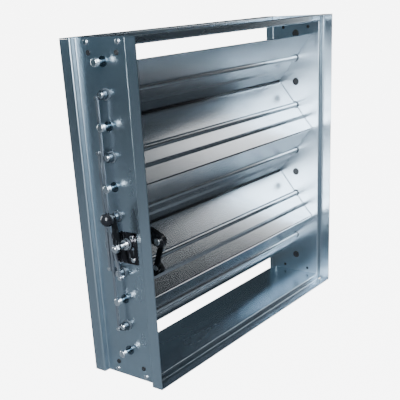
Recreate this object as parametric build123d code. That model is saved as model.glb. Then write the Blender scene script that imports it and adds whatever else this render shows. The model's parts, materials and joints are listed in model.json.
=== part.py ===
from build123d import *
import math
import os

# A rectangular opposed-blade volume control damper in galvanised sheet steel.
# X runs across the airway, Y along the air path (front at -Y) and Z up. The origin is the
# centre of the airway. The drive side, with the hand lever and the linkage, is at -X.
# All sizes are millimetres.

# ---- Casing ----
airway_width = 600.0
casing_depth = 116.0
casing_sheet = 1.5
collar_step = 12.0
collar_depth = 22.0
bend_radius = 2.0
top_margin = 73.0
bottom_margin = 90.0
corner_gap = 0.3
tab_reach = 10.0
tab_inset = 12.0
corner_rivet_y = 34.0
corner_rivet_radius = 2.4
rivet_head_radius = 4.6
rivet_head_height = 2.2
rivet_clinch = 1.2
fixing_hole_y = 30.0
fixing_hole_inset = 10.0
fixing_hole_radius = 3.5

# ---- Blades ----
blade_count = 5
blade_pitch = 100.0
blade_sheet = 1.2
blade_edge_gap = 1.0
blade_end_gap = 2.0
closed_angle = 39.0
rib_span = 8.0
rib_depth = 3.0
rib_offset = 32.0
hem_width = 9.0
clip_length = 24.0
clip_inset = 36.0
clip_sheet = 1.5
clip_ear = 12.0

# ---- Shafts and bushes ----
shaft_radius = 5.0
running_clearance = 0.05
stub_in_blade = 75.0
far_stub_outboard = 4.0
web_hole_radius = 8.0
bush_flange_radius = 10.0
bush_flange = 2.0
bush_inner_lip = 1.0

# ---- Linkage ----
crank_radius_odd = 10.0
crank_radius_even = 18.0
crank_hub_radius = 7.5
crank_hub_start = 2.6
crank_hub_length = 8.0
crank_plate = 3.0
pin_radius = 2.0
pin_boss_radius = 4.2
pin_head_radius = 3.4
pin_head = 2.0
layer_gap = 0.4
rod_plate = 3.0
rod_half_width = 2.5
eye_radius = 3.6
travel = 51.0

# ---- Cover studs ----
stud_shank_radius = 4.0
stud_head_radius = 7.0
stud_head_start = 14.5
stud_head_length = 7.5
stud_flange_radius = 8.6
stud_flange = 1.0

# ---- Hand drive ----
spindle_y = -18.0
spindle_z = -46.0
spindle_radius = 6.0
spindle_bush_wall = 2.0
spindle_neck_radius = 4.0
spindle_collar_radius = 9.0
spindle_collar_length = 4.0
lever_start = 24.0
lever_plate = 3.0
lever_length = 52.5
lever_half_width = 5.0
lever_rest_angle = 3.0
knob_radius = 11.5
knob_neck_radius = 5.0
knob_stud_radius = 3.0
nut_height = 6.5
nut_across = 13.0
plate_centre_y = 1.0
plate_centre_z = -53.0
plate_arc_radius = 28.0
plate_flat_y = -39.0
plate_sheet = 1.5
plate_rim_height = 6.0
plate_hole_radius = 3.0
plate_screw_y = -30.0
plate_screw_offset = 20.0
screw_shank_radius = 2.5
screw_head_radius = 4.2
screw_head = 2.6

# ---- Inner drive to blade 4 ----
inner_crank_radius = 22.0
inner_crank_lean = 27.0
inner_crank_thickness = 10.0
inner_crank_hub = 12.5
inner_crank_boss = 12.0
inner_crank_x = 63.6
bolt_radius = 3.0
bolt_head_radius = 6.5
bolt_head = 5.0
bolt_collar_radius = 5.0
bolt_collar = 3.0
drive_link_half_width = 4.2
lug_sheet = 3.0
lug_foot = 22.0
lug_foot_width = 16.0

# ---- Worked out from the sizes above ----
half_width = airway_width / 2
web_outer = half_width + casing_sheet
half_depth = casing_depth / 2
axes_half_height = (blade_count - 1) * blade_pitch / 2
web_z = {1: axes_half_height + top_margin, -1: -axes_half_height - bottom_margin}
lip_inner_x = half_width + collar_step
lip_z = {end: web_z[end] + end * (collar_step + casing_sheet) for end in (-1, 1)}
casing_middle_z = (lip_z[1] + lip_z[-1]) / 2
half_total_height = (lip_z[1] - lip_z[-1]) / 2
half_total_width = lip_inner_x + casing_sheet
total_half_depth = half_depth + collar_depth
half_blade = half_width - blade_end_gap
closed_lean = math.radians(closed_angle)
edge_z = (blade_pitch - blade_edge_gap) / 2
half_chord = (edge_z - blade_sheet / 2 * math.sin(closed_lean)) / math.cos(closed_lean)
crank_rest = travel / 2
crank_plate_end = crank_hub_start + crank_hub_length
crank_plate_start = crank_plate_end - crank_plate
rod_start = crank_plate_end + layer_gap
rod_end = rod_start + rod_plate
stub_outboard = rod_end
link_start = rod_end + layer_gap
link_end = link_start + rod_plate
pin_hole_radius = pin_radius + running_clearance
spindle_hole_radius = spindle_radius + running_clearance + spindle_bush_wall
drive_blade = 4


def blade_z(number):
    """Height of a blade's axis: blade 1 is at the top."""
    return ((blade_count + 1) / 2 - number) * blade_pitch


def is_odd(number):
    """Odd blades close with their upper edge at the front, even ones at the rear."""
    return number % 2 == 1


def rotated(y, z, degrees):
    """A point of the YZ plane turned about +X."""
    turn = math.radians(degrees)
    return (
        y * math.cos(turn) - z * math.sin(turn),
        y * math.sin(turn) + z * math.cos(turn),
    )


def across(x):
    """The plane at x whose local axes are the part's Y and Z."""
    return Plane(origin=(x, 0, 0), x_dir=(0, 1, 0), z_dir=(1, 0, 0))


def drive_x(outboard):
    """X of a point this far outboard of the drive-side web."""
    return -web_outer - outboard


def disc(x_start, x_end, y, z, radius):
    """A round bar along X."""
    low = min(x_start, x_end)
    profile = across(low) * Pos(y, z) * Circle(radius)
    return extrude(profile, abs(x_end - x_start), dir=(1, 0, 0))


def stadium(y1, z1, r1, y2, z2, r2):
    """A flat bar's outline: two round ends joined by tangent sides, as a hull."""
    ends = [Pos(y1, z1) * Circle(r1), Pos(y2, z2) * Circle(r2)]
    edges = [edge for end in ends for edge in end.edges()]
    return make_hull(edges)


def plate_between(x_start, x_end, outline):
    """A plate in the YZ plane between two X values."""
    low = min(x_start, x_end)
    return extrude(across(low) * outline, abs(x_end - x_start), dir=(1, 0, 0))


def write(part, name):
    """Write one node."""
    part.label = name
    export_step(part, "parts/" + name + ".step")


# ---- Casing members ----
def casing_section():
    """The roll-formed section: a web, two steps outward and two collar lips.

    Local x runs along the air path, local y outward from the airway's face.
    """
    mid = casing_sheet / 2
    step_y = half_depth - mid
    lip_y = collar_step + mid
    path = FilletPolyline(
        (total_half_depth, lip_y),
        (step_y, lip_y),
        (step_y, mid),
        (-step_y, mid),
        (-step_y, lip_y),
        (-total_half_depth, lip_y),
        radius=bend_radius + mid,
    )
    return trace(path, casing_sheet)


def side_member(side):
    """A side casing member, full height, with its row of 16 mm holes at half pitch."""
    middle = (side * half_width, 0, casing_middle_z)
    plane = Plane(origin=middle, x_dir=(0, 1, 0), z_dir=(0, 0, -side))
    member = extrude(plane * casing_section(), half_total_height, both=True)
    lip_room = casing_sheet + corner_gap
    for end in (-1, 1):
        for face in (-1, 1):
            notch = Box(4 * collar_step, 2 * (collar_depth - bend_radius - casing_sheet), 2 * lip_room)
            place = (side * half_width, face * total_half_depth, lip_z[end])
            member -= Pos(*place) * notch
    web_middle = side * (half_width + casing_sheet / 2)
    for step in range(2 * blade_count + 1):
        hole_z = (step - blade_count) * blade_pitch / 2
        member -= disc(web_middle - 3, web_middle + 3, 0, hole_z, web_hole_radius)
    for end in (-1, 1):
        for face in (-1, 1):
            fixing_z = web_z[end] - end * fixing_hole_inset
            rivet_z = web_z[end] + end * collar_step / 2
            fixing = disc(web_middle - 3, web_middle + 3, face * fixing_hole_y, fixing_z, fixing_hole_radius)
            rivet = disc(web_middle - 3, web_middle + 3, face * corner_rivet_y, rivet_z, corner_rivet_radius)
            member -= [fixing, rivet]
    if side < 0:
        member -= disc(web_middle - 3, web_middle + 3, spindle_y, spindle_z, spindle_hole_radius)
        for end in (-1, 1):
            screw_z = plate_centre_z + end * plate_screw_offset
            member -= disc(web_middle - 3, web_middle + 3, plate_screw_y, screw_z, screw_shank_radius)
    return member


def cross_member(end):
    """The top or bottom casing member, between the side webs, with riveted end tabs."""
    plane = Plane(origin=(0, 0, web_z[end]), x_dir=(0, 1, 0), z_dir=(end, 0, 0))
    member = extrude(plane * casing_section(), half_width, both=True)
    lip_middle_z = lip_z[end] - end * casing_sheet / 2
    lip_start = half_depth + bend_radius + casing_sheet
    lip_length = total_half_depth - lip_start
    lip_middle = lip_start + lip_length / 2
    lip_width = half_total_width - half_width
    tab_width = 2 * (half_depth - tab_inset)
    tab_z = web_z[end] + end * (casing_sheet + tab_reach) / 2
    for side in (-1, 1):
        for face in (-1, 1):
            ear = Box(lip_width, lip_length, casing_sheet)
            member += Pos(side * (half_width + lip_width / 2), face * lip_middle, lip_middle_z) * ear
        tab = Box(casing_sheet, tab_width, tab_reach + casing_sheet)
        member += Pos(side * (half_width - casing_sheet / 2), 0, tab_z) * tab
        for face in (-1, 1):
            hole_x = side * (half_width - casing_sheet / 2)
            rivet_z = web_z[end] + end * collar_step / 2
            member -= disc(hole_x - 2, hole_x + 2, face * corner_rivet_y, rivet_z, corner_rivet_radius)
    return member


def corner_rivets():
    """Two dome-headed rivets at each corner, through the side web and the end tab."""
    rivets = []
    inner = half_width - casing_sheet
    for side in (-1, 1):
        for end in (-1, 1):
            for face in (-1, 1):
                y = face * corner_rivet_y
                z = web_z[end] + end * collar_step / 2
                head_end = side * (web_outer + rivet_head_height)
                head = disc(side * web_outer, head_end, y, z, rivet_head_radius)
                rim = head.faces().sort_by(Axis.X)[0 if side < 0 else -1].edges()
                rivet = fillet(rim, 0.8 * rivet_head_height)
                rivet += disc(side * inner, side * web_outer, y, z, corner_rivet_radius)
                clinch_end = side * (inner - rivet_clinch)
                rivet += disc(clinch_end, side * inner, y, z, corner_rivet_radius + rivet_clinch)
                rivets.append(rivet)
    return Compound(rivets)


# ---- Bushes and studs ----
def bush(side, y, z, bore_radius, outer_radius, seat):
    """A flanged bush pushed into a web hole from outside. seat is where its flange lies."""
    flange_end = seat + bush_flange
    flange_radius = outer_radius + bush_flange_radius - web_hole_radius
    body = disc(side * (half_width - bush_inner_lip), side * flange_end, y, z, outer_radius)
    body += disc(side * seat, side * flange_end, y, z, flange_radius)
    body -= disc(side * (half_width - 2 * bush_flange), side * (flange_end + 1), y, z, bore_radius)
    return body


def shaft_bushes(side):
    """The five blade-shaft bushes of one side."""
    bore = shaft_radius + running_clearance
    numbers = range(1, blade_count + 1)
    return Compound([bush(side, 0, blade_z(n), bore, web_hole_radius, web_outer) for n in numbers])


def cover_studs():
    """Round-headed studs in the drive side's half-pitch holes, which a linkage cover screws to.

    The hole behind the quadrant plate has none.
    """
    studs = []
    for step in range(blade_count + 1):
        stud_z = (blade_count / 2 - step) * blade_pitch
        hidden = abs(stud_z - plate_centre_z) < plate_arc_radius
        if hidden:
            continue
        stud = disc(-half_width + bush_inner_lip, -web_outer, 0, stud_z, web_hole_radius)
        stud += disc(-web_outer, drive_x(stud_flange), 0, stud_z, stud_flange_radius)
        stud += disc(-web_outer, drive_x(stud_head_start), 0, stud_z, stud_shank_radius)
        head_end = stud_head_start + stud_head_length
        head = disc(drive_x(stud_head_start), drive_x(head_end), 0, stud_z, stud_head_radius)
        rim = head.faces().sort_by(Axis.X)[0].edges()
        stud += fillet(rim, 2.0)
        studs.append(stud)
    return Compound(studs)


# ---- Blades ----
def chord_frame(number):
    """Local x runs along a closed blade's chord to its lower edge, local y to its front face."""
    if is_odd(number):
        chord_y, chord_z = rotated(0, -1, closed_angle)
        front_y, front_z = rotated(-1, 0, closed_angle)
    else:
        chord_y, chord_z = rotated(0, -1, -closed_angle)
        front_y, front_z = rotated(-1, 0, -closed_angle)
    return chord_y, chord_z, front_y, front_z


def blade_plane(number, x):
    """The plane at x that holds a blade's section."""
    chord_y, chord_z, front_y, front_z = chord_frame(number)
    along = Vector(0, chord_y, chord_z)
    toward = Vector(0, front_y, front_z)
    return Plane(origin=(x, 0, blade_z(number)), x_dir=along, z_dir=along.cross(toward))


def blade_section(number):
    """The sheet's section: a half-round channel over the shaft, a stiffening rib and hemmed edges.

    Each hem is folded to the side that faces away from the neighbouring blade.
    """
    trough = shaft_radius + blade_sheet / 2
    half_rib = rib_span / 2
    left = Line((-half_chord, 0), (-trough, 0))
    arch = ThreePointArc((-trough, 0), (0, trough), (trough, 0))
    to_rib = Line((trough, 0), (rib_offset - half_rib, 0))
    rib = Polyline(
        (rib_offset - half_rib, 0),
        (rib_offset, rib_depth),
        (rib_offset + half_rib, 0),
    )
    right = Line((rib_offset + half_rib, 0), (half_chord, 0))
    path = Curve() + [left, arch, to_rib, rib, right]
    sheet = trace(path, blade_sheet)
    lower_hem = -1 if is_odd(number) else 1
    for end in (-1, 1):
        hem = Rectangle(hem_width, blade_sheet)
        sheet += Pos(end * (half_chord - hem_width / 2), end * lower_hem * blade_sheet) * hem
    return sheet


def blade(number):
    """One blade, lying at its closed angle."""
    plane = blade_plane(number, 0)
    return extrude(plane * blade_section(number), half_blade, both=True)


def blade_clips(number):
    """The two saddle clips that hold a blade's stub shafts in its channel, on the rear face."""
    clips = []
    inner = shaft_radius
    outer = shaft_radius + clip_sheet
    seat = -blade_sheet / 2
    ear_end = outer + clip_ear
    for side in (-1, 1):
        middle = side * (half_blade - clip_inset - clip_length / 2)
        ears = Pos(0, seat - clip_sheet / 2) * Rectangle(2 * ear_end, clip_sheet)
        profile = ears + Circle(outer)
        upper = Pos(0, outer + seat) * Rectangle(2 * ear_end + 2, 2 * outer)
        profile -= upper
        profile -= Circle(inner)
        plane = blade_plane(number, middle)
        clips.append(extrude(plane * profile, clip_length / 2, both=True))
    return Compound(clips)


def drive_stub(number):
    """The stub shaft of the drive side, which also carries the crank."""
    chamfered = disc(drive_x(stub_outboard), stub_in_blade - half_blade, 0, blade_z(number), shaft_radius)
    return chamfer(chamfered.faces().sort_by(Axis.X)[0].edges(), 1.0)


def far_stub(number):
    """The stub shaft of the far side."""
    tip = web_outer + far_stub_outboard
    return disc(half_blade - stub_in_blade, tip, 0, blade_z(number), shaft_radius)


# ---- Linkage ----
def rear_pin(number):
    """Rest position of a crank's rear pin: odd cranks start low and even ones high."""
    radius = crank_radius_odd if is_odd(number) else crank_radius_even
    rest = -crank_rest if is_odd(number) else crank_rest
    y, z = rotated(radius, 0, rest)
    return y, z + blade_z(number)


def front_pin():
    """Rest position of the drive blade's front crank pin, which works the reversing link."""
    y, z = rotated(-crank_radius_odd, 0, crank_rest)
    return y, z + blade_z(drive_blade)


def crank(number):
    """A crank: a hub on the stub shaft and a flat arm out to its pin."""
    z = blade_z(number)
    pin_y, pin_z = rear_pin(number)
    body = disc(drive_x(crank_hub_start), drive_x(crank_plate_end), 0, z, crank_hub_radius)
    arm = stadium(0, z, crank_hub_radius, pin_y, pin_z, pin_boss_radius)
    body += plate_between(drive_x(crank_plate_start), drive_x(crank_plate_end), arm)
    pins = [(pin_y, pin_z)]
    if number == drive_blade:
        y, front_z = front_pin()
        front_arm = stadium(0, z, crank_hub_radius, y, front_z, pin_boss_radius)
        body += plate_between(drive_x(crank_plate_start), drive_x(crank_plate_end), front_arm)
        pins.append((y, front_z))
    body -= disc(drive_x(0), drive_x(crank_plate_end + 1), 0, z, shaft_radius)
    for y, pin_height in pins:
        body -= disc(drive_x(0), drive_x(crank_plate_end + 1), y, pin_height, pin_radius)
    return body


def link_pin(y, z, bar_end):
    """A headed pin pressed into a crank, with its head just outboard of the last bar on it."""
    head_start = bar_end + layer_gap
    pin = disc(drive_x(crank_plate_start), drive_x(head_start), y, z, pin_radius)
    pin += disc(drive_x(head_start), drive_x(head_start + pin_head), y, z, pin_head_radius)
    return pin


def crank_pins(number):
    """A crank's pins. Blade 3's pin also carries the reversing link."""
    carries_link = number == drive_blade - 1
    y, z = rear_pin(number)
    pins = [link_pin(y, z, link_end if carries_link else rod_end)]
    if number == drive_blade:
        y, z = front_pin()
        spacer = disc(drive_x(crank_plate_end), drive_x(link_start - layer_gap), y, z, pin_head_radius)
        pins.append(link_pin(y, z, link_end) + spacer)
    return Compound(pins)


def coupling_rod(numbers):
    """A flat rod that joins the rear pins of blades that turn the same way."""
    points = [rear_pin(number) for number in numbers]
    top_y, top_z = points[0]
    low_y, low_z = points[-1]
    outline = stadium(top_y, top_z, rod_half_width, low_y, low_z, rod_half_width)
    for y, z in points:
        outline += Pos(y, z) * Circle(eye_radius)
    rod = plate_between(drive_x(rod_start), drive_x(rod_end), outline)
    for y, z in points:
        rod -= disc(drive_x(rod_start - 1), drive_x(rod_end + 1), y, z, pin_hole_radius)
    return rod


def reversing_link():
    """The crossed link from blade 3's pin to blade 4's front pin. Its lower eye is slotted."""
    top_y, top_z = rear_pin(drive_blade - 1)
    low_y, low_z = front_pin()
    slot_travel = 2 * crank_radius_odd * (1 - math.cos(math.radians(crank_rest))) + 2 * running_clearance
    slot_far_y = low_y - slot_travel
    outline = stadium(top_y, top_z, rod_half_width, low_y, low_z, rod_half_width)
    outline += Pos(top_y, top_z) * Circle(eye_radius)
    outline += stadium(low_y, low_z, eye_radius, slot_far_y, low_z, eye_radius)
    link = plate_between(drive_x(link_start), drive_x(link_end), outline)
    slot = stadium(low_y, low_z, pin_hole_radius, slot_far_y, low_z, pin_hole_radius)
    link -= plate_between(drive_x(link_start - 1), drive_x(link_end + 1), slot)
    link -= disc(drive_x(link_start - 1), drive_x(link_end + 1), top_y, top_z, pin_hole_radius)
    return link


# ---- Hand drive ----
def quadrant_plate():
    """The D-shaped pressed plate behind the hand lever, with a raised rim round its curve."""
    flat_length = plate_centre_y - plate_flat_y
    straight = Pos(plate_centre_y - flat_length / 2, plate_centre_z)
    outline = Pos(plate_centre_y, plate_centre_z) * Circle(plate_arc_radius)
    outline += straight * Rectangle(flat_length, 2 * plate_arc_radius)
    inner = offset(outline, -plate_sheet, kind=Kind.INTERSECTION)
    curve_side = Pos(plate_centre_y + plate_arc_radius / 2, plate_centre_z)
    rim = (outline - inner) & (curve_side * Rectangle(3 * plate_arc_radius / 2, 3 * plate_arc_radius))
    plate = plate_between(drive_x(0), drive_x(plate_sheet), outline)
    plate += plate_between(drive_x(0), drive_x(plate_rim_height), rim)
    plate -= disc(drive_x(-1), drive_x(plate_sheet + 1), spindle_y, spindle_z, spindle_hole_radius)
    plate -= disc(drive_x(-1), drive_x(plate_sheet + 1), plate_screw_y, plate_centre_z, plate_hole_radius)
    for end in (-1, 1):
        screw_z = plate_centre_z + end * plate_screw_offset
        plate -= disc(drive_x(-1), drive_x(plate_sheet + 1), plate_screw_y, screw_z, screw_shank_radius)
    return plate


def quadrant_screws():
    """The two screws that hold the quadrant plate to the web."""
    screws = []
    for end in (-1, 1):
        z = plate_centre_z + end * plate_screw_offset
        screw = disc(-half_width + bush_inner_lip, drive_x(plate_sheet), plate_screw_y, z, screw_shank_radius)
        head_end = plate_sheet + screw_head
        head = disc(drive_x(plate_sheet), drive_x(head_end), plate_screw_y, z, screw_head_radius)
        screw += fillet(head.faces().sort_by(Axis.X)[0].edges(), screw_head / 2)
        screws.append(screw)
    return Compound(screws)


def spindle_bush():
    """The flanged bush that the drive spindle turns in, through the plate and the web."""
    bore = spindle_radius + running_clearance
    return bush(-1, spindle_y, spindle_z, bore, spindle_hole_radius, web_outer + plate_sheet)


def inner_faces():
    """X of the inner crank's and the drive link's faces, from the web inward."""
    crank_start = -half_width + inner_crank_x - inner_crank_thickness
    crank_end = crank_start + inner_crank_thickness
    link_low = crank_end + layer_gap
    link_high = link_low + rod_plate
    return crank_start, crank_end, link_low, link_high


def drive_spindle():
    """The spindle from the hand lever through the web to the inner crank."""
    crank_start, crank_end, link_low, link_high = inner_faces()
    collar_start = plate_sheet + bush_flange + layer_gap
    neck_end = lever_start + lever_plate + nut_height + 1.5
    spindle = disc(drive_x(lever_start), crank_end, spindle_y, spindle_z, spindle_radius)
    collar_end = collar_start + spindle_collar_length
    spindle += disc(drive_x(collar_start), drive_x(collar_end), spindle_y, spindle_z, spindle_collar_radius)
    neck = disc(drive_x(neck_end), drive_x(lever_start), spindle_y, spindle_z, spindle_neck_radius)
    spindle += chamfer(neck.faces().sort_by(Axis.X)[0].edges(), 0.8)
    return spindle


def lever_end():
    """Rest position of the knob's axis on the hand lever."""
    y, z = rotated(0, lever_length, -lever_rest_angle)
    return y + spindle_y, z + spindle_z


def hand_lever():
    """The flat hand lever, clamped on the spindle's neck."""
    end_y, end_z = lever_end()
    outline = stadium(spindle_y, spindle_z, 1.5 * lever_half_width, end_y, end_z, lever_half_width)
    lever = plate_between(drive_x(lever_start), drive_x(lever_start + lever_plate), outline)
    for y, z, radius in ((spindle_y, spindle_z, spindle_neck_radius), (end_y, end_z, knob_stud_radius)):
        lever -= disc(drive_x(lever_start - 1), drive_x(lever_start + lever_plate + 1), y, z, radius)
    return lever


def lever_knob():
    """The ball knob, turned with a short neck and a stud through the lever's end."""
    end_y, end_z = lever_end()
    neck = 3.0
    ball_centre = lever_start + lever_plate + neck + math.sqrt(knob_radius**2 - knob_neck_radius**2)
    ball = Pos(drive_x(ball_centre), end_y, end_z) * Rot(0, 90, 0) * Sphere(knob_radius)
    face = lever_start + lever_plate
    knob = ball + disc(drive_x(face), drive_x(ball_centre), end_y, end_z, knob_neck_radius)
    return knob + disc(drive_x(lever_start), drive_x(face), end_y, end_z, knob_stud_radius)


def lever_nut():
    """The hexagon nut that clamps the lever on the spindle."""
    start = lever_start + lever_plate
    hexagon = RegularPolygon(nut_across / 2, 6, major_radius=False)
    nut = plate_between(drive_x(start), drive_x(start + nut_height), Pos(spindle_y, spindle_z) * hexagon)
    return nut - disc(drive_x(start - 1), drive_x(start + nut_height + 1), spindle_y, spindle_z, spindle_neck_radius)


# ---- Inner drive ----
def inner_arm():
    """The vector from the spindle to the inner crank's pin, and from blade 4's axis to its lug pin."""
    chord_y, chord_z, front_y, front_z = chord_frame(drive_blade)
    lean = math.radians(inner_crank_lean)
    y = math.cos(lean) * chord_y + math.sin(lean) * front_y
    z = math.cos(lean) * chord_z + math.sin(lean) * front_z
    return inner_crank_radius * y, inner_crank_radius * z


def inner_crank():
    """The moulded crank on the spindle's inner end."""
    crank_start, crank_end, link_low, link_high = inner_faces()
    arm_y, arm_z = inner_arm()
    pin = (spindle_y + arm_y, spindle_z + arm_z)
    outline = stadium(spindle_y, spindle_z, inner_crank_hub, pin[0], pin[1], inner_crank_boss)
    body = plate_between(crank_start, crank_end, outline)
    body = fillet(body.faces().sort_by(Axis.X)[0].edges(), 2.0)
    body -= disc(crank_start - 1, crank_end + 1, spindle_y, spindle_z, spindle_radius)
    body -= disc(crank_start - 1, crank_end + 1, pin[0], pin[1], bolt_radius)
    return body


def inner_crank_bolt():
    """The bolt that the drive link turns on, with its head towards the drive side."""
    crank_start, crank_end, link_low, link_high = inner_faces()
    arm_y, arm_z = inner_arm()
    y = spindle_y + arm_y
    z = spindle_z + arm_z
    bolt = disc(crank_start, link_high + layer_gap, y, z, bolt_radius)
    head = disc(crank_start - bolt_head, crank_start, y, z, bolt_head_radius)
    bolt += fillet(head.faces().sort_by(Axis.X)[0].edges(), 1.5)
    return bolt + disc(link_high + layer_gap, link_high + layer_gap + bolt_collar, y, z, bolt_collar_radius)


def drive_link():
    """The link from the inner crank to blade 4's lug, parallel to the line between their axes."""
    crank_start, crank_end, link_low, link_high = inner_faces()
    arm_y, arm_z = inner_arm()
    ends = [(spindle_y + arm_y, spindle_z + arm_z), (arm_y, blade_z(drive_blade) + arm_z)]
    (y1, z1), (y2, z2) = ends
    outline = stadium(y1, z1, drive_link_half_width + 1, y2, z2, drive_link_half_width + 1)
    link = plate_between(link_low, link_high, outline)
    for y, z in ends:
        link -= disc(link_low - 1, link_high + 1, y, z, bolt_radius + running_clearance)
    return link


def blade_lug():
    """The angle bracket on blade 4's front face that carries the drive link's pin."""
    crank_start, crank_end, link_low, link_high = inner_faces()
    ear_start = link_high + layer_gap
    arm = inner_crank_radius
    lean = math.radians(inner_crank_lean)
    pin_x = arm * math.cos(lean)
    pin_y = arm * math.sin(lean)
    face = blade_sheet / 2
    plane = blade_plane(drive_blade, 0)
    outward = plane.z_dir.X
    half_foot = lug_foot_width / 2
    ear_outline = make_hull((Pos(pin_x, pin_y) * Circle(half_foot - 1)).edges()
                            + (Pos(pin_x, face + 1) * Rectangle(lug_foot_width, 2)).edges())
    ear_outline -= Pos(pin_x, face - half_foot) * Rectangle(2 * lug_foot_width, lug_foot_width)
    ear_plane = blade_plane(drive_blade, ear_start)
    lug = extrude(ear_plane * ear_outline, lug_sheet, dir=(1, 0, 0))
    foot_outline = Pos(pin_x, face + lug_sheet / 2) * Rectangle(lug_foot_width, lug_sheet)
    lug += extrude(ear_plane * foot_outline, lug_foot, dir=(1, 0, 0))
    y, z = inner_arm()
    lug -= disc(ear_start - 1, ear_start + lug_sheet + 1, y, z + blade_z(drive_blade), bolt_radius)
    return lug


def lug_pin():
    """The headed pin through the drive link into blade 4's lug."""
    crank_start, crank_end, link_low, link_high = inner_faces()
    arm_y, arm_z = inner_arm()
    z = blade_z(drive_blade) + arm_z
    head_end = link_low - layer_gap
    pin = disc(head_end, link_high + layer_gap + lug_sheet, arm_y, z, bolt_radius)
    return pin + disc(head_end - pin_head, head_end, arm_y, z, bolt_collar_radius)


# ---- Write every node ----
os.makedirs("parts", exist_ok=True)

write(side_member(-1), "side_member_drive")
write(side_member(1), "side_member_far")
write(cross_member(1), "top_member")
write(cross_member(-1), "bottom_member")
write(corner_rivets(), "corner_rivets")
write(shaft_bushes(-1), "drive_shaft_bushes")
write(shaft_bushes(1), "far_shaft_bushes")
write(cover_studs(), "cover_studs")

for number in range(1, blade_count + 1):
    write(blade(number), f"blade_{number}")
    write(blade_clips(number), f"blade_clips_{number}")
    write(drive_stub(number), f"drive_stub_{number}")
    write(far_stub(number), f"far_stub_{number}")
    write(crank(number), f"crank_{number}")
    write(crank_pins(number), f"crank_pins_{number}")

write(coupling_rod([1, 3, 5]), "odd_blade_rod")
write(coupling_rod([2, 4]), "even_blade_rod")
write(reversing_link(), "reversing_link")

write(quadrant_plate(), "quadrant_plate")
write(quadrant_screws(), "quadrant_screws")
write(spindle_bush(), "spindle_bush")
write(drive_spindle(), "drive_spindle")
write(hand_lever(), "hand_lever")
write(lever_knob(), "lever_knob")
write(lever_nut(), "lever_nut")
write(inner_crank(), "inner_crank")
write(inner_crank_bolt(), "inner_crank_bolt")
write(drive_link(), "drive_link")
write(blade_lug(), "blade_lug")
write(lug_pin(), "lug_pin")
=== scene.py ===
# %% [markdown]
# # A volume control damper
#
# A damper is a gate for air in a duct. Five long blades turn inside a rectangular casing of galvanised
# sheet, and a hand lever outside sets them. The shapes come finished from a CAD model, so this lesson is
# mostly about surfaces: how zinc-coated sheet, turned steel and black moulded plastic look, and how to
# build those looks from shader nodes. It ends with the light and the camera.

# %% Load the finished shapes
import json
import math

import bmesh
import bpy
from mathutils import Matrix, Vector


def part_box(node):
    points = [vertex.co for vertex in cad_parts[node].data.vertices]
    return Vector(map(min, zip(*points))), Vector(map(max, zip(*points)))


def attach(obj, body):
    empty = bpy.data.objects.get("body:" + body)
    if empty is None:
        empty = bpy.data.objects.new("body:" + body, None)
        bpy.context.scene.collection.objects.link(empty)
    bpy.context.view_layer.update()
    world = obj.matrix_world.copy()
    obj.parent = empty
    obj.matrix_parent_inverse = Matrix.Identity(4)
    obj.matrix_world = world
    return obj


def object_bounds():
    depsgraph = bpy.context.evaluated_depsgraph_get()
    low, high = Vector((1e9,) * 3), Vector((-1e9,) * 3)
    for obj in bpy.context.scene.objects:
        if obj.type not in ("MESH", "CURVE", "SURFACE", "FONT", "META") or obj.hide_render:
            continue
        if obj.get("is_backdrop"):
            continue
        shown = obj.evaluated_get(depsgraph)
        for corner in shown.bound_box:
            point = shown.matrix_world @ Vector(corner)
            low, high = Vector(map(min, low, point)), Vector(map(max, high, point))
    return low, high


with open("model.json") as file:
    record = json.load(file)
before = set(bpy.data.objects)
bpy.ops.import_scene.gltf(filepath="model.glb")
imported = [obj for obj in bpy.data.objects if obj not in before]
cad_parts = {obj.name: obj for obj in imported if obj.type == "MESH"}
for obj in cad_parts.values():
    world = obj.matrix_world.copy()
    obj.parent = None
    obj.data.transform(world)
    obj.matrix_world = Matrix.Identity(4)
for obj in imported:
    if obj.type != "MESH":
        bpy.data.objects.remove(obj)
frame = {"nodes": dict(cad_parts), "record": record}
cad_low, cad_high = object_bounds()
nodes = frame["nodes"]
blade_count = sum(name.removeprefix("blade_").isdigit() for name in nodes)
print("pieces:", len(nodes), "blades:", blade_count)
print("box:", [round(v, 4) for v in (*cad_low, *cad_high)])

# %% [markdown]
# ## Small helpers for node trees
#
# A shader is a graph. Typing each node's place and each link by hand is slow and hard to read. So small
# helpers do it: one adds a node and fills its sockets, and the others add the few kinds of node that this
# lesson uses again and again.

# %% Node helpers
def rgba(value):
    """A grey or a colour as the four numbers that a colour socket takes."""
    return (*value, 1) if isinstance(value, tuple) else (value, value, value, 1)


def fill_sockets(tree, node, sockets):
    """Plugs in a node's inputs: a socket becomes a link, and anything else a value."""
    for key, value in sockets.items():
        if isinstance(value, bpy.types.NodeSocket):
            tree.links.new(value, node.inputs[key])
        else:
            node.inputs[key].default_value = value


def add_node(tree, kind, sockets=None, **settings):
    """Adds a node with its own settings, and fills its sockets."""
    node = tree.nodes.new(kind)
    for key, value in settings.items():
        setattr(node, key, value)
    fill_sockets(tree, node, sockets or {})
    return node


def add_noise(tree, place, scale, detail, roughness=0.5):
    sockets = {"Vector": place, "Scale": scale, "Detail": detail, "Roughness": roughness}
    return add_node(tree, "ShaderNodeTexNoise", sockets)


def add_math(tree, operation, first, second):
    return add_node(tree, "ShaderNodeMath", {0: first, 1: second}, operation=operation).outputs[0]


def add_weighted(tree, first, first_share, second, second_share):
    """The sum of two values, each times its share."""
    left = add_math(tree, "MULTIPLY", first, first_share)
    right = add_math(tree, "MULTIPLY", second, second_share)
    return add_math(tree, "ADD", left, right)


def add_range(tree, value, before, after=(0.0, 1.0)):
    """Moves a value from one span, before, to another, after, and holds it inside that one."""
    sockets = {"Value": value, "From Min": before[0], "From Max": before[1]}
    sockets.update({"To Min": after[0], "To Max": after[1]})
    return add_node(tree, "ShaderNodeMapRange", sockets).outputs[0]


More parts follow.
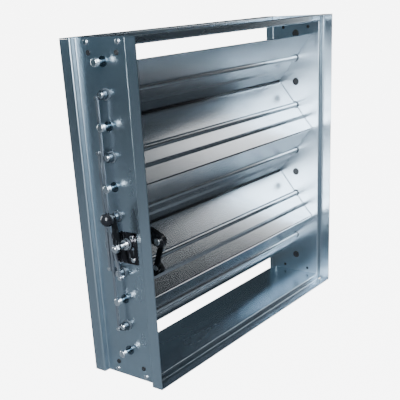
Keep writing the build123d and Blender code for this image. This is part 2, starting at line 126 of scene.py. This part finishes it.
def add_ramp(tree, factor, stops):
    """A colour ramp. The stops are (place, grey or colour)."""
    node = add_node(tree, "ShaderNodeValToRGB", {"Fac": factor})
    elements = node.color_ramp.elements
    while len(elements) < len(stops):
        elements.new(0.5)
    for element, (place, value) in zip(elements, stops):
        element.position = place
        element.color = rgba(value)
    return node.outputs["Color"]


def add_mix(tree, factor, first, second):
    """Mixes two colours. In the Mix node the sockets 6 and 7 and the output 2 are the colour ones."""
    colours = [rgba(value) if isinstance(value, tuple) else value for value in (first, second)]
    sockets = {0: factor, 6: colours[0], 7: colours[1]}
    return add_node(tree, "ShaderNodeMix", data_type="RGBA", sockets=sockets).outputs[2]


print("node helpers ready")

# %% [markdown]
# Patterns that several finishes share are node groups, each built once. A group here puts out only
# values, and the shader itself stays in the material, so that the look survives an export.

# %% Helpers for groups and materials
def new_group(name, inputs, outputs):
    """An empty group with named sockets. The inputs are (name, kind, default)."""
    group = bpy.data.node_groups.new(name, "ShaderNodeTree")
    for label, kind, default in inputs:
        socket = group.interface.new_socket(name=label, in_out="INPUT", socket_type=kind)
        if default is not None:
            socket.default_value = default
    for label in outputs:
        group.interface.new_socket(name=label, in_out="OUTPUT", socket_type="NodeSocketFloat")
    return group, group.nodes.new("NodeGroupInput").outputs, group.nodes.new("NodeGroupOutput")


def use_group(tree, group, sockets):
    node = tree.nodes.new("ShaderNodeGroup")
    node.node_tree = group
    fill_sockets(tree, node, sockets)
    return node.outputs


def new_material(name):
    """A new material, its node tree, and the place on the object in metres."""
    material = bpy.data.materials.new(name)
    material.use_nodes = True
    tree = material.node_tree
    return material, tree, add_node(tree, "ShaderNodeTexCoord").outputs["Object"]


def set_surface(tree, tone, roughness, height, bump_strength, bump_distance):
    """Plugs colour, roughness and fine relief into the material's own shader, and returns it."""
    relief = {"Strength": bump_strength, "Distance": bump_distance, "Height": height}
    bump = add_node(tree, "ShaderNodeBump", relief)
    shader = tree.nodes["Principled BSDF"]
    fill_sockets(tree, shader, {"Base Color": tone, "Roughness": roughness, "Normal": bump.outputs[0]})
    return shader


print("group and material helpers ready")

# %% [markdown]
# ## Zinc spangle
#
# Hot-dip galvanised sheet is covered with zinc crystals, and each crystal face reflects a little
# differently. A Voronoi texture gives such cells, and its random cell colour becomes one grey for each
# crystal. A little noise first bends the place that it reads, so that the crystals' edges aren't ruler
# straight. A soft noise gives the cloudy change from one part of the sheet to another, and a very fine
# one the grain of the skin. It is a group, because the casing and the blades use it with different sizes.

# %% Group: zinc spangle
spangle, given, result = new_group(
    "zinc spangle",
    [
        ("Place", "NodeSocketVector", None),
        ("Crystals per metre", "NodeSocketFloat", 150.0),
        ("Cloud", "NodeSocketFloat", 6.0),
    ],
    ["Crystal", "Cloudiness", "Relief"],
)
bend = add_noise(spangle, given["Place"], 60.0, 2.0).outputs["Color"]
bent = add_node(spangle, "ShaderNodeVectorMath", {0: bend, "Scale": 0.006}, operation="SCALE").outputs[0]
where = add_node(spangle, "ShaderNodeVectorMath", {0: given["Place"], 1: bent}, operation="ADD").outputs[0]
cells = add_node(spangle, "ShaderNodeTexVoronoi", {"Vector": where, "Scale": given["Crystals per metre"]})
crystal = add_node(spangle, "ShaderNodeSeparateColor", {"Color": cells.outputs["Color"]}).outputs[0]
cloud = add_noise(spangle, given["Place"], given["Cloud"], 5.0, 0.6).outputs["Fac"]
grain = add_noise(spangle, given["Place"], 900.0, 2.0).outputs["Fac"]
relief = add_weighted(spangle, crystal, 0.25, grain, 0.2)
fill_sockets(spangle, result, {"Crystal": crystal, "Cloudiness": cloud, "Relief": relief})
print("spangle nodes:", len(spangle.nodes))

# %% [markdown]
# ## Drawn streaks
#
# Sheet that goes through rollers gets faint streaks along its length, and they turn a round highlight
# into a long one. Noise that is stretched by a Mapping node gives them: a small scale along the sheet and
# a large one across it. A second, wider noise gives broad bands. The same group serves bars and rods with
# another stretch.

# %% Group: drawn streaks
streaks, given, result = new_group(
    "drawn streaks",
    [("Place", "NodeSocketVector", None), ("Stretch", "NodeSocketVector", (3.0, 260.0, 260.0))],
    ["Streak", "Band"],
)
stretched = add_node(streaks, "ShaderNodeMapping", {"Vector": given["Place"], "Scale": given["Stretch"]})
widened = add_node(streaks, "ShaderNodeMapping", {"Vector": stretched.outputs[0], "Scale": (0.5, 0.08, 0.08)})
streak = add_noise(streaks, stretched.outputs[0], 1.0, 4.0, 0.6).outputs["Fac"]
band = add_noise(streaks, widened.outputs[0], 1.0, 2.0).outputs["Fac"]
fill_sockets(streaks, result, {"Streak": streak, "Band": band})
print("streak nodes:", len(streaks.nodes))

# %% [markdown]
# ## Scuffs and dust
#
# Sheet metal is handled and gathers dust, most of all at its edges and corners. Pointiness and ambient
# occlusion can find those places, but the exported model can't keep them. So the wear here follows
# position only: patchy noise for dust, and long thin noise, turned askew, for scuffs. The materials mix
# both in lightly.

# %% Group: scuffs and dust
scuffs, given, result = new_group(
    "scuffs and dust",
    [("Place", "NodeSocketVector", None), ("Amount", "NodeSocketFloat", 0.4)],
    ["Scuff", "Dust"],
)
askew = {"Vector": given["Place"], "Rotation": (0.5, 0.35, 0.8), "Scale": (18.0, 400.0, 60.0)}
scratch_place = add_node(scuffs, "ShaderNodeMapping", askew).outputs[0]
scratch = add_noise(scuffs, scratch_place, 1.0, 3.0).outputs["Fac"]
patch = add_noise(scuffs, given["Place"], 14.0, 6.0, 0.7).outputs["Fac"]
scuff_lines = add_ramp(scuffs, scratch, [(0.62, 0.0), (0.72, 1.0)])
dust_patches = add_ramp(scuffs, patch, [(0.45, 0.0), (0.75, 1.0)])
wear = {
    "Scuff": add_math(scuffs, "MULTIPLY", scuff_lines, given["Amount"]),
    "Dust": add_math(scuffs, "MULTIPLY", dust_patches, given["Amount"]),
}
fill_sockets(scuffs, result, wear)
print("scuff nodes:", len(scuffs.nodes))

# %% [markdown]
# ## Galvanised sheet
#
# The material puts the groups together. Zinc is a metal, so Metallic is 1 and the base colour tints what
# it reflects. The clouds carry nearly all of the tone and single crystals very little, because the
# spangle of such sheet is fine and a strong one looks like frost. Clouds and roller bands also change the
# roughness, which breaks a highlight up. The casing is darker and duller than the blades, and on the
# cross members the streaks run along X, as the sheet does.

# %% Material: galvanised sheet
dust_colour = (0.42, 0.41, 0.4)
sheet_relief = 0.00003


def galvanised(name, dark, light, crystals, roughness, stretch, streak_share):
    """Galvanised sheet between two tones. The roughness is (lowest, highest)."""
    material, tree, place = new_material(name)
    zinc = use_group(tree, spangle, {"Place": place, "Crystals per metre": crystals, "Cloud": 5.0})
    drawn = use_group(tree, streaks, {"Place": place, "Stretch": stretch})
    worn = use_group(tree, scuffs, {"Place": place, "Amount": 0.12})
    pattern = add_weighted(tree, zinc["Crystal"], 0.08, zinc["Cloudiness"], 0.92)
    tone = add_mix(tree, pattern, dark, light)
    tone = add_mix(tree, add_math(tree, "MULTIPLY", drawn["Streak"], streak_share), tone, light)
    tone = add_mix(tree, worn["Dust"], tone, dust_colour)
    unevenness = add_weighted(tree, zinc["Cloudiness"], 0.6, drawn["Band"], 0.75)
    rough = add_range(tree, unevenness, (0.3, 1.1), roughness)
    height = add_weighted(tree, zinc["Relief"], 0.08, drawn["Streak"], 1.0)
    shader = set_surface(tree, tone, rough, height, 0.12, sheet_relief)
    shader.inputs["Metallic"].default_value = 1.0
    return material


casing_zinc = galvanised(
    "galvanised_casing", (0.40, 0.48, 0.54), (0.52, 0.60, 0.66),
    crystals=150.0, roughness=(0.25, 0.34), stretch=(160.0, 160.0, 3.0), streak_share=0.2,
)
cross_zinc = galvanised(
    "galvanised_cross_member", (0.40, 0.47, 0.53), (0.52, 0.59, 0.65),
    crystals=150.0, roughness=(0.22, 0.32), stretch=(2.0, 160.0, 160.0), streak_share=0.2,
)
blade_zinc = galvanised(
    "galvanised_blade", (0.55, 0.58, 0.61), (0.70, 0.73, 0.76),
    crystals=130.0, roughness=(0.2, 0.28), stretch=(2.0, 200.0, 200.0), streak_share=0.25,
)
print("galvanised:", casing_zinc.name, cross_zinc.name, blade_zinc.name)

# %% [markdown]
# ## Turned and plated steel
#
# Shafts, rivets and screws are zinc-plated: smoother than the sheet, with fine marks from the lathe or
# the die. The linkage bars are pressed from strip, so they are duller and have a rough grain. A stud or a
# shaft end is bright where it faces outwards, and down its stalk a painted shade stands in for the web's
# shadow. A short step along X makes that change, at a height that comes from the piece's own box.

# %% Material: plated steel
scuff_colour = (0.8, 0.8, 0.8)
# painted shade for the stalks of studs and shaft ends, standing in for the web's shadow
stalk_painted_shade = (0.14, 0.18, 0.21)
painted_shade_fade = 0.0015
steel_relief = 0.0001


def plated(name, dark, light, roughness, stretch, grain, painted_shade_from=None):
    """Plated steel between two tones. Inward of a place on X, the last argument, the stalk fades to a painted
    shade for the web's shadow.
    """
    material, tree, place = new_material(name)
    drawn = use_group(tree, streaks, {"Place": place, "Stretch": stretch})
    worn = use_group(tree, scuffs, {"Place": place, "Amount": 0.5})
    tone = add_mix(tree, drawn["Band"], dark, light)
    tone = add_mix(tree, worn["Scuff"], tone, scuff_colour)
    # painted shade: inward of the head the stalk is darkened as if it stood in the web's shadow
    if painted_shade_from is not None:
        along = add_node(tree, "ShaderNodeSeparateXYZ", {0: place}).outputs["X"]
        head = add_range(tree, along, (painted_shade_from + painted_shade_fade, painted_shade_from))
        tone = add_mix(tree, head, stalk_painted_shade, tone)
    rough = add_range(tree, drawn["Streak"], (0.3, 0.7), roughness)
    shader = set_surface(tree, tone, rough, drawn["Streak"], grain, steel_relief)
    shader.inputs["Metallic"].default_value = 1.0
    return material


print("plated steel ready")

# %% [markdown]
# The turned pieces have their marks round the axis, so their noise is fine along X and coarse across it.
# The studs' heads are 7 mm tall, and of the shaft ends a little under 4 mm is bright; inward of that is
# painted shade.

# %% The steel finishes
turned_marks = (900.0, 40.0, 40.0)
pressed_grain = (200.0, 30.0, 30.0)
polished = (0.72, 0.75, 0.78), (0.95, 0.96, 0.97)
stud_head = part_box("cover_studs")[0][0] + 0.007
shaft_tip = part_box("drive_stub_1")[0][0] + 0.0037

bright_steel = plated(
    "bright_steel", (0.62, 0.63, 0.65), (0.88, 0.88, 0.88), (0.14, 0.3), turned_marks, 0.2
)
link_steel = plated("linkage_steel", (0.3, 0.32, 0.36), (0.55, 0.57, 0.6), (0.28, 0.46), pressed_grain, 0.4)
stud_steel = plated("stud_steel", *polished, (0.16, 0.3), turned_marks, 0.2, painted_shade_from=stud_head)
tip_steel = plated("tip_steel", *polished, (0.16, 0.3), turned_marks, 0.2, painted_shade_from=shaft_tip)
crank_steel = plated("crank_steel", (0.08, 0.1, 0.12), (0.2, 0.23, 0.26), (0.26, 0.42), pressed_grain, 0.3)
black_steel = plated(
    "blackened_steel", (0.02, 0.022, 0.025), (0.05, 0.052, 0.056), (0.3, 0.5), pressed_grain, 0.4
)
print("heads bright from x", round(stud_head, 4), "tips from", round(shaft_tip, 4))

# %% [markdown]
# The quadrant plate is dark and glossy, and its raised rim is painted pale, a painted highlight along its
# edge. The rim stands out from the plate's face, so a step along X finds it too: it starts just past the
# plate's thickness, which lies behind the rim.

# %% The quadrant plate's finish
# painted highlight: a pale colour for the raised rim of the quadrant plate
rim_painted_highlight = (0.75, 0.82, 0.86)
plate_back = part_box("quadrant_plate")[1][0]
rim_start, rim_full = plate_back - 0.0017, plate_back - 0.0021
quadrant_steel = plated(
    "quadrant_steel", (0.02, 0.03, 0.05), (0.09, 0.07, 0.06), (0.12, 0.3), (60.0, 60.0, 60.0), 0.3
)
tree = quadrant_steel.node_tree
shader = tree.nodes["Principled BSDF"]
plate_tone = shader.inputs["Base Color"].links[0].from_socket
place = add_node(tree, "ShaderNodeTexCoord").outputs["Object"]
along = add_node(tree, "ShaderNodeSeparateXYZ", {0: place}).outputs["X"]
# painted highlight: past the plate's thickness the rim turns pale
rim = add_range(tree, along, (rim_start, rim_full))
fill_sockets(tree, shader, {"Base Color": add_mix(tree, rim, plate_tone, rim_painted_highlight)})
print("rim bright from x", round(rim_full, 4))

# %% [markdown]
# ## Plastics and rubber
#
# The knob and the inner crank are moulded in black phenolic: glossy where hands polish it, with a faint
# orange-peel skin. The bushes are dark nylon and duller, and rubber is the dullest. All three come
# from one material: dust makes it paler and rougher, and a fine noise gives the skin.

# %% Material: plastics and rubber
skin_relief = 0.0002


def moulded(name, colour, pale, roughness, skin_scale):
    """A moulded material that dust turns paler and rougher."""
    material, tree, place = new_material(name)
    worn = use_group(tree, scuffs, {"Place": place, "Amount": 0.6})
    tone = add_mix(tree, worn["Dust"], colour, pale)
    rough = add_range(tree, worn["Dust"], (0.0, 0.6), roughness)
    skin = add_noise(tree, place, skin_scale, 3.0).outputs["Fac"]
    set_surface(tree, tone, rough, skin, 0.12, skin_relief)
    return material


black_plastic = moulded("black_plastic", (0.008, 0.008, 0.01), (0.05, 0.05, 0.055), (0.16, 0.4), 500.0)
nylon = moulded("nylon", (0.07, 0.085, 0.1), (0.12, 0.13, 0.14), (0.35, 0.55), 300.0)
rubber = moulded("black_rubber", (0.012, 0.012, 0.013), (0.035, 0.035, 0.036), (0.45, 0.7), 900.0)
print("moulded:", black_plastic.name, nylon.name, rubber.name)

# %% [markdown]
# ## Dressing the pieces
#
# Each CAD piece keeps its shape and gets a finish in its own material slot. A short table goes from the
# record's slots to the finishes. A second one names the pieces that look different from the rest of
# their slot: the cross members, the blackened bars, and the studs, shafts, pins and cranks.

# %% Give every piece its finish
slot_finishes = {
    "galvanised_casing": casing_zinc,
    "galvanised_blade": blade_zinc,
    "bright_steel": bright_steel,
    "linkage_steel": link_steel,
    "quadrant_steel": quadrant_steel,
    "nylon": nylon,
    "black_plastic": black_plastic,
}
piece_finishes = {
    "top_member": cross_zinc,
    "bottom_member": cross_zinc,
    "drive_link": black_steel,
    "blade_lug": black_steel,
    "hand_lever": black_steel,
    "cover_studs": stud_steel,
}
for number in range(1, blade_count + 1):
    piece_finishes[f"drive_stub_{number}"] = tip_steel
    piece_finishes[f"crank_pins_{number}"] = tip_steel
    piece_finishes[f"crank_{number}"] = crank_steel
for subpart in frame["record"]["subparts"]:
    finish = piece_finishes.get(subpart["node"], slot_finishes[subpart["material_slot"]])
    for slot in nodes[subpart["node"]].material_slots:
        slot.material = finish

# %% [markdown]
# ## A round rubber bar
#
# Seals and plugs are both round bars along X, a seal with one radius and a plug with several. A circle is
# turned to face X, and its disc is extruded from ring to ring and scaled to each ring's radius. Each
# extrusion leaves the disc that it started from inside the bar, so those discs are deleted at the end,
# the doubled corners are merged and the faces are turned outwards.

# %% Helper: a round bar
bar_sides = 20
same_place = 1e-6
merge_distance = 1e-7


def add_round_bar(name, axis, rings, body):
    """A closed bar along X round the line at axis, which is (y, z). The rings are (x, radius)."""
    start_x, start_radius = rings[0]
    bar = bmesh.new()
    disc = bmesh.ops.create_circle(bar, cap_ends=True, segments=bar_sides, radius=start_radius)
    bmesh.ops.rotate(bar, verts=disc["verts"], matrix=Matrix.Rotation(math.radians(90), 3, "Y"))
    bmesh.ops.translate(bar, verts=disc["verts"], vec=(start_x, *axis))
    cap = bar.faces[:][0]
    for x, radius in rings[1:]:
        grown = bmesh.ops.extrude_face_region(bar, geom=[cap])
        cap = next(item for item in grown["geom"] if isinstance(item, bmesh.types.BMFace))
        centre = cap.calc_center_median()
        share = radius / (cap.verts[0].co - centre).length
        to_centre = Matrix.Translation(-centre)
        bmesh.ops.scale(bar, verts=cap.verts[:], vec=(share, share, share), space=to_centre)
        bmesh.ops.translate(bar, verts=cap.verts[:], vec=(x - centre.x, 0, 0))
    discs = [face for face in bar.faces if len(face.verts) > 4 and face is not cap]
    inside = [face for face in discs if abs(face.calc_center_median().x - start_x) > same_place]
    bmesh.ops.delete(bar, geom=inside, context="FACES_ONLY")
    bmesh.ops.remove_doubles(bar, verts=bar.verts[:], dist=merge_distance)
    bmesh.ops.recalc_face_normals(bar, faces=bar.faces[:])
    mesh = bpy.data.meshes.new(name)
    bar.to_mesh(mesh)
    bar.free()
    for polygon in mesh.polygons:
        polygon.use_smooth = len(polygon.vertices) == 4
    mesh.materials.append(rubber)
    piece = bpy.data.objects.new(name, mesh)
    bpy.context.scene.collection.objects.link(piece)
    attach(piece, body)


print("sides of a round bar:", bar_sides)

# %% [markdown]
# ## Blade seals
#
# Where two closed blades meet, their folded edges leave a thin valley that would let light and air
# through. A round rubber cord in each valley closes it. It is glued to the upper blade, so it rides with
# that one and leaves the lower one as they open. Blades with odd numbers lean one way and the others the
# other way, so the valley changes from the rear side to the front side and back.

# %% Seals in the valleys
seal_radius = 0.0014
valley_inset = 0.0036
seal_end_gap = 0.002
for number in range(1, blade_count):
    low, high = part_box(f"blade_{number}")
    meeting_z = (low[2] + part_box(f"blade_{number + 1}")[1][2]) / 2
    valley_y = high[1] - valley_inset if number % 2 == 1 else low[1] + valley_inset
    ends = [(low[0] + seal_end_gap, seal_radius), (high[0] - seal_end_gap, seal_radius)]
    add_round_bar(f"blade_seal_{number}", (valley_y, meeting_z), ends, f"blade_{number}_assembly")
    print("seal", number, "at y", round(valley_y, 4), "z", round(meeting_z, 4))

# %% [markdown]
# ## Blanking plugs
#
# The spare holes in the two webs are closed with rubber plugs, and each has a stem a little smaller than
# its hole and a wider flange outside. The holes' places and sizes come from the record: six single ports
# on the far side, and a rectangle of four small holes on each side.

# %% Plugs in the spare holes
stem_share, flange_share, flange_top_share = 0.97, 1.25, 1.15
stem_in, flange_in, flange_out = 0.0004, 0.0009, 0.0022
holes = []
for mount in frame["record"]["mounts"]:
    name, (x, y, z), dims = mount["name"], mount["pos_m"], mount["dims"]
    if name.startswith("far_port"):
        holes.append((name, x, y, z, dims["r_mm"] / 1000))
    if name.endswith("web_holes"):
        reach_y = dims["spacing_x_mm"] / 2000
        reach_z = dims["spacing_y_mm"] / 2000
        corners = [(-1, -1), (-1, 1), (1, -1), (1, 1)]
        for count, (side, level) in enumerate(corners):
            place_y, place_z = y + side * reach_y, z + level * reach_z
            holes.append((f"{name}_{count}", x, place_y, place_z, dims["hole_r_mm"] / 1000))
for name, x, y, z, radius in holes:
    outwards = 1 if x > 0 else -1
    rings = [
        (x - outwards * stem_in, radius * stem_share),
        (x + outwards * flange_in, radius * stem_share),
        (x + outwards * flange_in, radius * flange_share),
        (x + outwards * flange_out, radius * flange_top_share),
    ]
    add_round_bar(f"{name}_plug", (y, z), rings, "casing")
print("plugs:", len(holes))

# %% [markdown]
# ## Floor
#
# The damper stands on a pale floor, for which a plane is enough. Bare metal has hardly a tone of its own
# and shows its surroundings, so pale surroundings on every side would turn all of the sheet white. That
# is why the floor glows for the camera's own rays only. To a reflection it is the dim, grey surface under
# the glow. It is a studio trick, and a Light Path node makes it.

# %% The floor
floor_reach = 12
studio_glow = 7.0
white = (1, 1, 1, 1)
floor_mesh = bpy.data.meshes.new("floor")
sheet = bmesh.new()
bmesh.ops.create_grid(sheet, x_segments=1, y_segments=1, size=floor_reach)
bmesh.ops.translate(sheet, verts=sheet.verts[:], vec=(0, 0, cad_low.z))
sheet.to_mesh(floor_mesh)
sheet.free()
floor = bpy.data.objects.new("floor", floor_mesh)
bpy.context.scene.collection.objects.link(floor)
floor_material, tree, place = new_material("pale floor")
paper = tree.nodes["Principled BSDF"]
speck = add_noise(tree, place, 90.0, 3.0).outputs["Fac"]
grey = add_mix(tree, speck, (0.16, 0.18, 0.2), (0.2, 0.22, 0.24))
fill_sockets(tree, paper, {"Base Color": grey, "Roughness": 0.9})
seen = add_node(tree, "ShaderNodeLightPath").outputs["Is Camera Ray"]
glow = add_node(tree, "ShaderNodeEmission", {"Color": white, "Strength": studio_glow})
glowing = add_node(tree, "ShaderNodeAddShader", {0: paper.outputs[0], 1: glow.outputs[0]})
surface = add_node(tree, "ShaderNodeMixShader", {0: seen, 1: paper.outputs[0], 2: glowing.outputs[0]})
fill_sockets(tree, tree.nodes["Material Output"], {"Surface": surface.outputs[0]})
floor.data.materials.append(floor_material)
floor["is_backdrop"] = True
print("floor at z", round(cad_low.z, 4))

# %% [markdown]
# ## Lamps
#
# Four soft lamps light the metal, and none of them shows to the camera. The strongest stands like a wall
# on the left, in front of the drive side. Another is a window behind the damper, for the rear lips. A tall
# and narrow one stands at the front right, where the blades that lean back are turned to. A weak one
# hangs overhead and fills the shadows.

# %% Four soft lamps
def add_lamp(name, place, aim, size, power, colour=(1, 1, 1)):
    """A soft lamp of (width, height) at a place, turned to face a point and hidden from the camera."""
    data = bpy.data.lights.new(name, "AREA")
    data.shape = "RECTANGLE"
    data.size, data.size_y = size
    data.energy = power
    data.color = colour
    lamp = bpy.data.objects.new(name, data)
    lamp.location = place
    lamp.rotation_euler = (Vector(aim) - Vector(place)).to_track_quat("-Z", "Y").to_euler()
    lamp.visible_camera = False
    bpy.context.scene.collection.objects.link(lamp)


add_lamp("tall window", (1.2, -0.4, 0.7), (0.0, -0.02, 0.7), (0.24, 1.5), 3)
add_lamp("left wall", (-1.9, -0.75, 0.85), (0.3, 0, 0), (0.9, 1.5), 95, (0.88, 0.94, 1.0))
add_lamp("back window", (-0.45, 2.3, 0.35), (-0.3, 0, 0), (0.7, 1.4), 30, (0.9, 0.96, 1.0))
add_lamp("overhead", (0.2, -0.2, 2.4), (0, 0, 0), (1.4, 1.4), 5)
print("lamps:", len(bpy.data.lights))

# %% [markdown]
# ## The room
#
# The room works like the floor: pale where the camera looks past the damper, and dim in everything that
# the metal reflects. The dim part isn't even. It goes from a cool blue at the back left to a dark grey at
# the front right, so that each face takes a tone from the way it is turned.

# %% The room
dark_side = (0.8, -0.5, 0.33)
room_tones = [
    (0.0, (0.10, 0.19, 0.26)),
    (0.5, (0.07, 0.11, 0.14)),
    (0.8, (0.045, 0.055, 0.062)),
    (1.0, (0.04, 0.045, 0.05)),
]
world = bpy.data.worlds.new("studio")
world.use_nodes = True
tree = world.node_tree
tree.nodes.clear()
way = add_node(tree, "ShaderNodeTexCoord").outputs["Generated"]
toward = add_node(tree, "ShaderNodeVectorMath", {0: way, 1: dark_side}, operation="DOT_PRODUCT")
tones = add_ramp(tree, add_range(tree, toward.outputs["Value"], (-1.0, 1.0)), room_tones)
dim = add_node(tree, "ShaderNodeBackground", {"Color": tones, "Strength": 1.0})
pale = add_node(tree, "ShaderNodeBackground", {"Color": white, "Strength": studio_glow})
seen = add_node(tree, "ShaderNodeLightPath").outputs["Is Camera Ray"]
backdrop = add_node(tree, "ShaderNodeMixShader", {0: seen, 1: dim.outputs[0], 2: pale.outputs[0]})
add_node(tree, "ShaderNodeOutputWorld", {"Surface": backdrop.outputs[0]})
bpy.context.scene.world = world
print("room tones:", len(room_tones))

# %% [markdown]
# ## The camera
#
# The view is from the front left and a little above, near the drive side, where the linkage, the knob
# and the blades all show. The camera is described by where it stands, the direction it looks in (yaw
# from +Y, pitch and roll, in radians) and its focal length as a share of the picture's width. The shift
# slides the picture over the view without turning the camera, so upright lines keep their angle.

# %% Place the camera
camera_place = Vector((-1.175343, -0.836285, 0.332962))
yaw, pitch, roll = 0.890497, -0.374196, -0.063299
focal_share = 1.849665
shift_right, shift_up = 0.045125, 0.225225
forward = Vector((math.sin(yaw) * math.cos(pitch), math.cos(yaw) * math.cos(pitch), math.sin(pitch)))
level_right = Vector((math.cos(yaw), -math.sin(yaw), 0))
level_up = level_right.cross(forward)
right = math.cos(roll) * level_right + math.sin(roll) * level_up
up = -math.sin(roll) * level_right + math.cos(roll) * level_up
lens = bpy.data.cameras.new("camera")
lens.sensor_width = 36.0
lens.lens = focal_share * lens.sensor_width
lens.shift_x = shift_right
lens.shift_y = shift_up
camera = bpy.data.objects.new("camera", lens)
turn = Matrix((right, up, -forward)).transposed()
camera.matrix_world = Matrix.Translation(camera_place) @ turn.to_4x4()
bpy.context.scene.collection.objects.link(camera)
bpy.context.scene.camera = camera
print("camera at", [round(v, 3) for v in camera_place])

# %% [markdown]
# ## Finish
#
# The last cell measures the dressed object against the CAD box and closes the scene.

# %% Measure and finish
low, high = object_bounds()
print("size change:", [round(a - b, 5) for a, b in zip((*low, *high), (*cad_low, *cad_high))])
